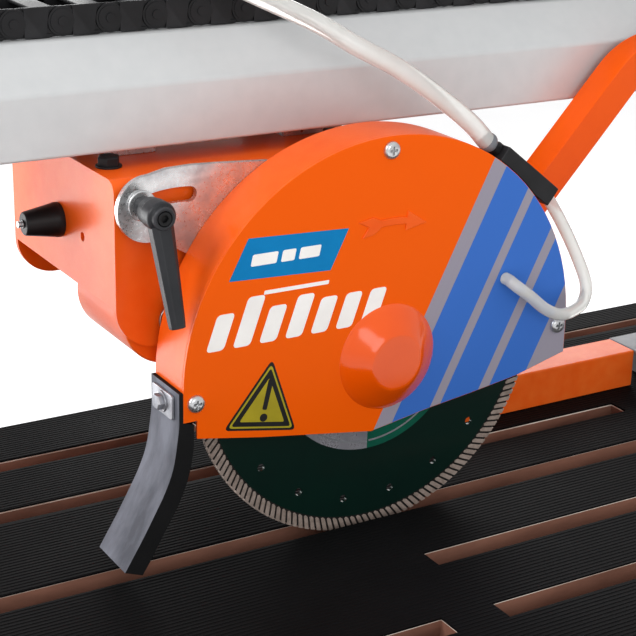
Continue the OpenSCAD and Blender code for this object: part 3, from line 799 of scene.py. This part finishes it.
# %% Turn the bumper
BUMPER_Y, BUMPER_Z = 110, 76
SIDE_PLATE = -162
bm = bmesh.new()
cone = [(0, 0), (10.4, 0), (11, -0.8), (11, -3.4), (10.7, -4), (7.6, -22.6), (7.2, -23.6), (6.6, -24),
        (3, -24.1), (2.7, -24.6), (0, -24.6)]
lathe(bm, [(r, SIDE_PLATE + d) for r, d in cone], side_view(BUMPER_Y, BUMPER_Z), 36)
settle(make_piece("bumper_cone", bm, [PLASTIC], crease=40), "carriage", "rubber", "bumper")
bm = bmesh.new()
stud = [(0, -185.5), (2.4, -185.5), (2.4, -186.6), (1.9, -187), (1.9, -187.4), (2.4, -187.8),
        (1.9, -188.2), (1.9, -188.6), (2.4, -189), (2, -189.7), (0, -189.8)]
lathe(bm, stud, side_view(BUMPER_Y, BUMPER_Z), 20)
settle(make_piece("bumper_stud", bm, [ZINC], crease=50), "carriage", "plated_steel")

# %% [markdown]
# Four low hexagon heads hold the carriage's top plate. Each has a chamfer, so it is turned round with six
# sides and then given a rounded crown.

# %% Turn the carriage bolts
COLLAR = [(0, 120), (8, 120), (8, 121.2), (7.6, 121.3), (0, 121.3)]
HEXAGON = ((6.9, 121.2), (6.9, 126), (6, 126.9))
bm = bmesh.new()
for x in (-150, 4):
    for y in (60, 158):
        place = top_view(x, y)
        lathe(bm, COLLAR, place, 28)
        skin(bm, [[place(u, v, w) for u, v in circle(r, 6)] for r, w in HEXAGON])
settle(make_piece("carriage_bolts", bm, [PLASTIC], 0.3), "carriage", "black_plastic", "top_bolts")

# %% [markdown]
# The splash flap is a thick rubber strip that hangs behind the guard's left end and curls away from it.
# Its outline is smoothed and pulled across. The broad outer face, which points left, is grey, and the cut
# sides stay black.

# %% Hang the splash flap
outer_edge = [(-143.4, 2), (-143.4, -16), (-144.6, -28), (-147.6, -45), (-153, -59), (-160.5, -73),
              (-169, -88), (-179.6, -105.3)]
inner_edge = [(-168, -109.8), (-162.6, -101.4), (-154.6, -86.8), (-146.2, -72.9), (-139.9, -59.6),
              (-135.9, -47.1), (-133.8, -33), (-133.4, -19.2)]


def smoothed(points, steps=4):
    """A flat line made smooth."""
    return [(p.x, p.z) for p in curve_through([(x, 0, z) for x, z in points], steps)]


FLAP_HALF = 19
bm = bmesh.new()
flap_outline = smoothed(outer_edge) + smoothed(inner_edge) + [(-140.6, -16.9), (-140.6, 2)]
prism(bm, flap_outline, -FLAP_HALF, FLAP_HALF, front_view())
# Faces that point left get the grey finish, and the rest stay black.
flap = make_piece("rubber_flap", bm, [RUBBER, LEFT_FACE_GREY], 0.5, crease=40,
                  choose=lambda face: int(face.normal.x < -0.5))
settle(flap, "head", "rubber", "splash_flap")
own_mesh(flap)

# %% [markdown]
# A square washer and a hexagon bolt clamp the flap. The washer spreads the load over the rubber, so it is
# wide and has rounded corners.

# %% Bolt the flap on
bm = bmesh.new()
washer = rounded([(-13.5, -16.4), (13.5, -16.4), (13.5, -1), (-13.5, -1)], 2.4)
prism(bm, washer, -145.4, -143.7, side_view())
bolt = side_view(0, -8.5)
lathe(bm, [(0, -145.3), (6.6, -145.3), (6.6, -146.3), (0, -146.3)], bolt, 28)
skin(bm, [[bolt(u, v, w) for u, v in circle(r, 6)] for r, w in ((5.2, -146.2), (5.2, -149), (4.5, -149.7))])
settle(make_piece("flap_bolt", bm, [DULL_ZINC], 0.35), "head", "plated_steel", "flap_fixing")

# %% [markdown]
# The black block on the rim receives the supply hose and passes water to the thin hose. A short stem
# leaves its upper end, and a grey ball, the barb that the hose is pushed over, shows through the hose's
# end.

# %% Mould the hose block
BLOCK_LEAN = 38
RIM_R = 140.6
STEM_Y, STEM_Z = -8, 0.4
BARB_R, BARB_LONG, BARB_AT = 6.5, 5.6, -31.5
block_turn = Matrix.Rotation(math.radians(BLOCK_LEAN), 4, "Y")
block_place = Matrix.Translation((101, 0, 106)) @ block_turn
bm = bmesh.new()
outline = [(-23.4, -8), (28.9, -8), (28.9, 5), (-23.4, 5)]
prism(bm, outline, -19, 3, front_view())
bmesh.ops.transform(bm, matrix=block_place, verts=bm.verts)
rim_round = bmesh.new()
prism(rim_round, circle(RIM_R, 128), -30, 30, front_view())
hose_block = make_piece("hose_block", bm, [PLASTIC])
cutter = make_piece("rim_cutter", rim_round, [PLASTIC])
cut = hose_block.modifiers.new("rim", "BOOLEAN")
cut.object = cutter
cut.solver = "EXACT"
apply_modifiers(hose_block)
bpy.data.objects.remove(cutter)
round_and_shade(hose_block, 0.8)
settle(hose_block, "head", "black_plastic", "hose_fitting")
bm = bmesh.new()
stem = [(0, -20), (5.2, -20), (5.2, -24), (4.4, -25), (4.4, -29.2), (0, -29.2)]
lathe(bm, stem, side_view(STEM_Y, STEM_Z), 28)
bmesh.ops.transform(bm, matrix=block_place, verts=bm.verts)
settle(make_piece("hose_stem", bm, [PLASTIC], crease=40), "head", "black_plastic")
bm = bmesh.new()
half_turn = [math.pi * k / 16 for k in range(17)]
barb = [(BARB_R * math.sin(a), BARB_AT - BARB_LONG * math.cos(a)) for a in half_turn]
lathe(bm, barb, side_view(STEM_Y, STEM_Z), 32)
bmesh.ops.transform(bm, matrix=block_place, verts=bm.verts)
settle(make_piece("hose_barb", bm, [GREY], crease=60), "head", "grey_paint")

# %% [markdown]
# The handle ends in a rubber grip with shallow rings. The rings are drawn in the lathe profile.

# %% Turn the ribbed grip
grip_low, grip_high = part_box("handle_grip")
grip_start, grip_end = (grip_low.x - AXIS.x) / MM, (grip_high.x - AXIS.x) / MM
grip_middle = ((grip_low.z + grip_high.z) / 2 - AXIS.z) / MM
GRIP_R, GROOVE_R = 17.1, 15.9
RING_PITCH = 6.2
profile = [(0, grip_start), (GROOVE_R, grip_start), (GRIP_R, grip_start + 1.5), (GRIP_R, grip_start + 5)]
place_on_grip = grip_start + 7
while place_on_grip < grip_end - 10:
    profile += [(GROOVE_R, place_on_grip), (GROOVE_R, place_on_grip + 1.6), (GRIP_R, place_on_grip + 2.4),
                (GRIP_R, place_on_grip + 5.4)]
    place_on_grip += RING_PITCH
profile += [(GRIP_R, grip_end - 6), (GRIP_R, grip_end - 2), (GROOVE_R, grip_end), (0, grip_end)]
bm = bmesh.new()
lathe(bm, profile, side_view((grip_low.y + grip_high.y) / 2 / MM, grip_middle), 40)
settle(make_piece("ribbed_grip", bm, [RUBBER], crease=28), "head", "rubber", "handle_grip")

# %% [markdown]
# The motor body has cooling fins along its length. The body is a plain ring, and the fins are thin blocks
# set round it by turning one outline about the shaft.

# %% Set the motor fins
bm = bmesh.new()
shell = [(47.6, 30), (50, 30), (50, 34), (48.8, 35), (48.8, 145), (50, 146), (50, 150), (47.6, 150)]
skin(bm, [[front_view()(u, v, w) for u, v in circle(r, 72)] for r, w in shell], closed=True)
FINS = 36
FIN_IN, FIN_OUT = 48.4, 51.9
for k in range(FINS):
    a = 2 * math.pi * k / FINS
    fin = [(FIN_IN, -0.9), (FIN_OUT, -0.6), (FIN_OUT, 0.6), (FIN_IN, 0.9)]
    turned = [(u * math.cos(a) - v * math.sin(a), u * math.sin(a) + v * math.cos(a)) for u, v in fin]
    prism(bm, turned, 34.5, 145.5, front_view())
settle(make_piece("finned_motor", bm, [MOTOR], 0.3), "head", "grey_paint", "motor_housing")

# %% [markdown]
# The table is covered with black sheet that has fine ribs along it, so that stone slides without
# sticking. The sheet is made from cells between the slots, and every rib is a long thin prism that stops
# at each slot.

# %% Lay the ribbed mats
RIB_PITCH = 3.4
GROOVE_FLOOR = TABLE_TOP - 0.3
RIB_FOOT, RIB_CROWN = 1.15, 0.8
SLOT_END = 560
SLOTS = {"mat_front": ((-SLOT_END, -18, -143.5, 18), (18, SLOT_END, -143.5, 18), (17, SLOT_END, -72, 18),
                       (-SLOT_END, -18, -213, 16), (18, SLOT_END, -213, 16)),
         "mat_rear": ((-SLOT_END, -18, 106, 18), (-SLOT_END, -18, 179, 17), (18, 281, 62, 17),
                      (18, SLOT_END, 205, 16))}


def lay_mat(node):
    """A sheet with slots, and ribs on it that run between the slots."""
    low, high = (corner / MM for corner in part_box(node))
    holes = [(x0, x1, y - w / 2, y + w / 2) for x0, x1, y, w in SLOTS[node]]
    xs = sorted({low.x, high.x} | {x for hole in holes for x in hole[:2]})
    ys = sorted({low.y, high.y} | {y for hole in holes for y in hole[2:]})

    def solid(i, j):
        if not (0 <= i < len(xs) - 1 and 0 <= j < len(ys) - 1):
            return False
        x, y = (xs[i] + xs[i + 1]) / 2, (ys[j] + ys[j + 1]) / 2
        return not any(x0 < x < x1 and y0 < y < y1 for x0, x1, y0, y1 in holes)

    bm = bmesh.new()
    grid = {(i, j, k): bm.verts.new((x, y, z)) for i, x in enumerate(xs) for j, y in enumerate(ys)
            for k, z in enumerate((low.z, GROOVE_FLOOR))}
    for i in range(len(xs) - 1):
        for j in range(len(ys) - 1):
            if not solid(i, j):
                continue
            square = [(i, j), (i + 1, j), (i + 1, j + 1), (i, j + 1)]
            bm.faces.new([grid[a, b, 1] for a, b in square])
            bm.faces.new([grid[a, b, 0] for a, b in square[::-1]])
            beside = ((i, j - 1), (i + 1, j), (i, j + 1), (i - 1, j))
            for n, (a, b) in enumerate(zip(square, square[1:] + square[:1])):
                if not solid(*beside[n]):
                    bm.faces.new([grid[a + (0,)], grid[b + (0,)], grid[b + (1,)], grid[a + (1,)]])
    bmesh.ops.delete(bm, geom=[v for v in bm.verts if not v.link_faces], context="VERTS")
    count = int((high.y - low.y) / RIB_PITCH)
    foot = GROOVE_FLOOR - 0.05
    for k in range(count):
        y = low.y + (k + 0.5) * (high.y - low.y) / count
        stops = sorted((x0, x1) for x0, x1, y0, y1 in holes if y0 - 1.2 < y < y1 + 1.2)
        edges = [low.x] + [x for pair in stops for x in pair] + [high.x]
        for x0, x1 in zip(edges[::2], edges[1::2]):
            rib = [(y - RIB_FOOT, foot), (y + RIB_FOOT, foot),
                   (y + RIB_CROWN, high.z), (y - RIB_CROWN, high.z)]
            prism(bm, rib, x0 + 0.3, x1 - 0.3, side_view())
    mat = make_piece(node + "_ribbed", bm, [MAT], origin=WORLD)
    return settle(mat, "stand", "rubber", node)


lay_mat("mat_front")
lay_mat("mat_rear")

# %% [markdown]
# Cables reach the carriage through a chain of hinged plastic links, which lies on the beam, turns over at
# its end and comes back above. A link has two side plates with a round end that overlaps the next link,
# and a crossbar above and below.

# %% Draw one chain link
LINK = 30
CHAIN_MIDDLE = 102
LINK_HALF = 8.8
PIN_IN = 3


def chain_link(bm, place, long):
    """A link whose own directions are along the chain, across it and up from it."""
    reach = long / 2
    pin = reach - PIN_IN

    def flat(u, w):
        return lambda v: place(u, v, w)

    def plate(outline, inner, outer):
        for side in (-1, 1):
            skin(bm, [[flat(u, w)(side * v) for u, w in outline] for v in (inner, outer)])

    link_side = [(-reach - PIN_IN, -LINK_HALF), (reach, -LINK_HALF), (reach, LINK_HALF),
                 (-reach - PIN_IN, LINK_HALF)]
    plate(rounded(link_side, 3), 16.4, 17.8)
    plate(circle(8.9, 28, pin, 0), 17.6, 18.9)
    plate(circle(7.4, 28, pin, 0), 18.8, 19.4)
    plate(circle(2.8, 16, pin, 0), 19.3, 20)
    cheek = [(-reach + 3.4, -8.9), (reach - 13.4, -8.9), (reach - 11, 8.9), (-reach + 3.4, 8.9)]
    plate(rounded(cheek, 1), 17.6, 19.2)
    for low_side, high_side in ((-9, -7), (7, 9)):
        outline = rounded([(-8, low_side), (6, low_side), (6, high_side), (-8, high_side)], 0.7, 2)
        skin(bm, [[flat(u, w)(v) for u, w in outline] for v in (-18.6, 18.6)])


print("a link is", LINK, "mm long")

# %% [markdown]
# The lower run belongs to the beam at its left end and moves half as far as the carriage at its right
# end. The upper run lies between the carriage and the bend.
# The round ends of the outermost links would reach past the plain chain, so their points are held back
# to its size.

# %% Lay the chain runs and bends


def chain_run(name, node, first, last):
    """A straight run of links between two places along the beam."""
    low, high = (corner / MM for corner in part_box(node))
    height = (low.z + high.z) / 2
    count = round((last - first) / LINK)
    bm = bmesh.new()
    for k in range(count):
        x = first + (k + 0.5) * (last - first) / count
        chain_link(bm, lambda u, v, w, x=x: Vector((x + u, CHAIN_MIDDLE + v, height + w)), LINK)
    for corner in bm.verts:
        corner.co.x = min(max(corner.co.x, first), last)
    run = make_piece(name, bm, [PLASTIC], 0.25, origin=WORLD)
    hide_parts(node)
    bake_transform(run)
    print(name, "has", count, "links")


CHAIN_START, CHAIN_TURN, CHAIN_END = -600, 330, -90
chain_run("chain_run_low", "chain_lower", CHAIN_START, CHAIN_TURN)
chain_run("chain_run_high", "chain_upper", CHAIN_END, CHAIN_TURN)


def chain_bend(name, node, first_angle):
    """Two links round a quarter turn."""
    lower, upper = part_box("chain_lower"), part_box("chain_upper")
    centre = (lower[0].z + upper[1].z) / 2 / MM
    radius = (upper[0].z - lower[0].z) / 2 / MM
    bm = bmesh.new()
    for k in range(2):
        a = math.radians(first_angle + 22.5 + 45 * k)
        out = Vector((math.cos(a), 0, math.sin(a)))
        along = Vector((-math.sin(a), 0, math.cos(a)))
        middle_of_link = Vector((CHAIN_TURN, CHAIN_MIDDLE, centre)) + out * (radius - 0.6)
        chain_link(bm, lambda u, v, w: middle_of_link + along * u + Vector((0, v, 0)) - out * w, 25)
    low, high = (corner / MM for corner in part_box(node))
    for corner in bm.verts:
        corner.co = Vector(min(max(c, a), b) for c, a, b in zip(corner.co, low, high))
    bend = make_piece(name, bm, [PLASTIC], 0.25, origin=WORLD)
    settle(bend, body_of[node], "black_plastic", node)


chain_bend("chain_turn_low", "chain_bend_low", -90)
chain_bend("chain_turn_high", "chain_bend_high", 0)

# %% [markdown]
# The saw stands on a plain pale floor under a white sky. The floor glows a little, as a lit table does,
# so it stays white. A soft light low at the left and behind makes the orange sides shine, one high at the
# left and one behind light the rims and the beam, and a weak one in front fills the shadows.

# %% Set the floor and the lights
FLOOR_HALF = 12
GLOW = 0.25
SKY = 0.8
floor_shape = bmesh.new()
bmesh.ops.create_grid(floor_shape, x_segments=8, y_segments=8, size=FLOOR_HALF / MM)
PALE = finish("pale floor", tint(246, 246, 246), tint(240, 240, 241), (0.6, 0.75), patch=1.5, grain=200,
              relief=0.02)
glow = PALE.node_tree.nodes["Principled BSDF"]
glow.inputs["Emission Color"].default_value = (1, 1, 1, 1)
glow.inputs["Emission Strength"].default_value = GLOW
floor = make_piece("floor", floor_shape, [PALE], origin=WORLD)

sky = bpy.data.worlds.new("sky")
scene.world = sky
sky.use_nodes = True
sky.node_tree.nodes["Background"].inputs["Color"].default_value = (1, 1, 1, 1)
sky.node_tree.nodes["Background"].inputs["Strength"].default_value = SKY


def soft_light(name, position, target, size, power):
    """A square light that faces a point."""
    data = bpy.data.lights.new(name, "AREA")
    data.shape = "SQUARE"
    data.size = size
    data.energy = power
    light = bpy.data.objects.new(name, data)
    light.location = position
    light.rotation_euler = (Vector(target) - Vector(position)).to_track_quat("-Z", "Y").to_euler()
    scene.collection.objects.link(light)
    print(name, "gives", power, "W")


soft_light("left_softbox", (-1.5, 1.9, 0.62), (-0.1, 0.1, 0.95), 1.2, 26)
soft_light("high_left_softbox", (-1.9, 0.2, 2.2), (0, 0, 0.95), 1.2, 32)
soft_light("back_softbox", (1.7, 2.9, 2.2), (0, 0, 0.95), 2.0, 40)
soft_light("front_fill", (-0.6, -2.6, 1.9), (0, 0, 0.9), 1.2, 14)
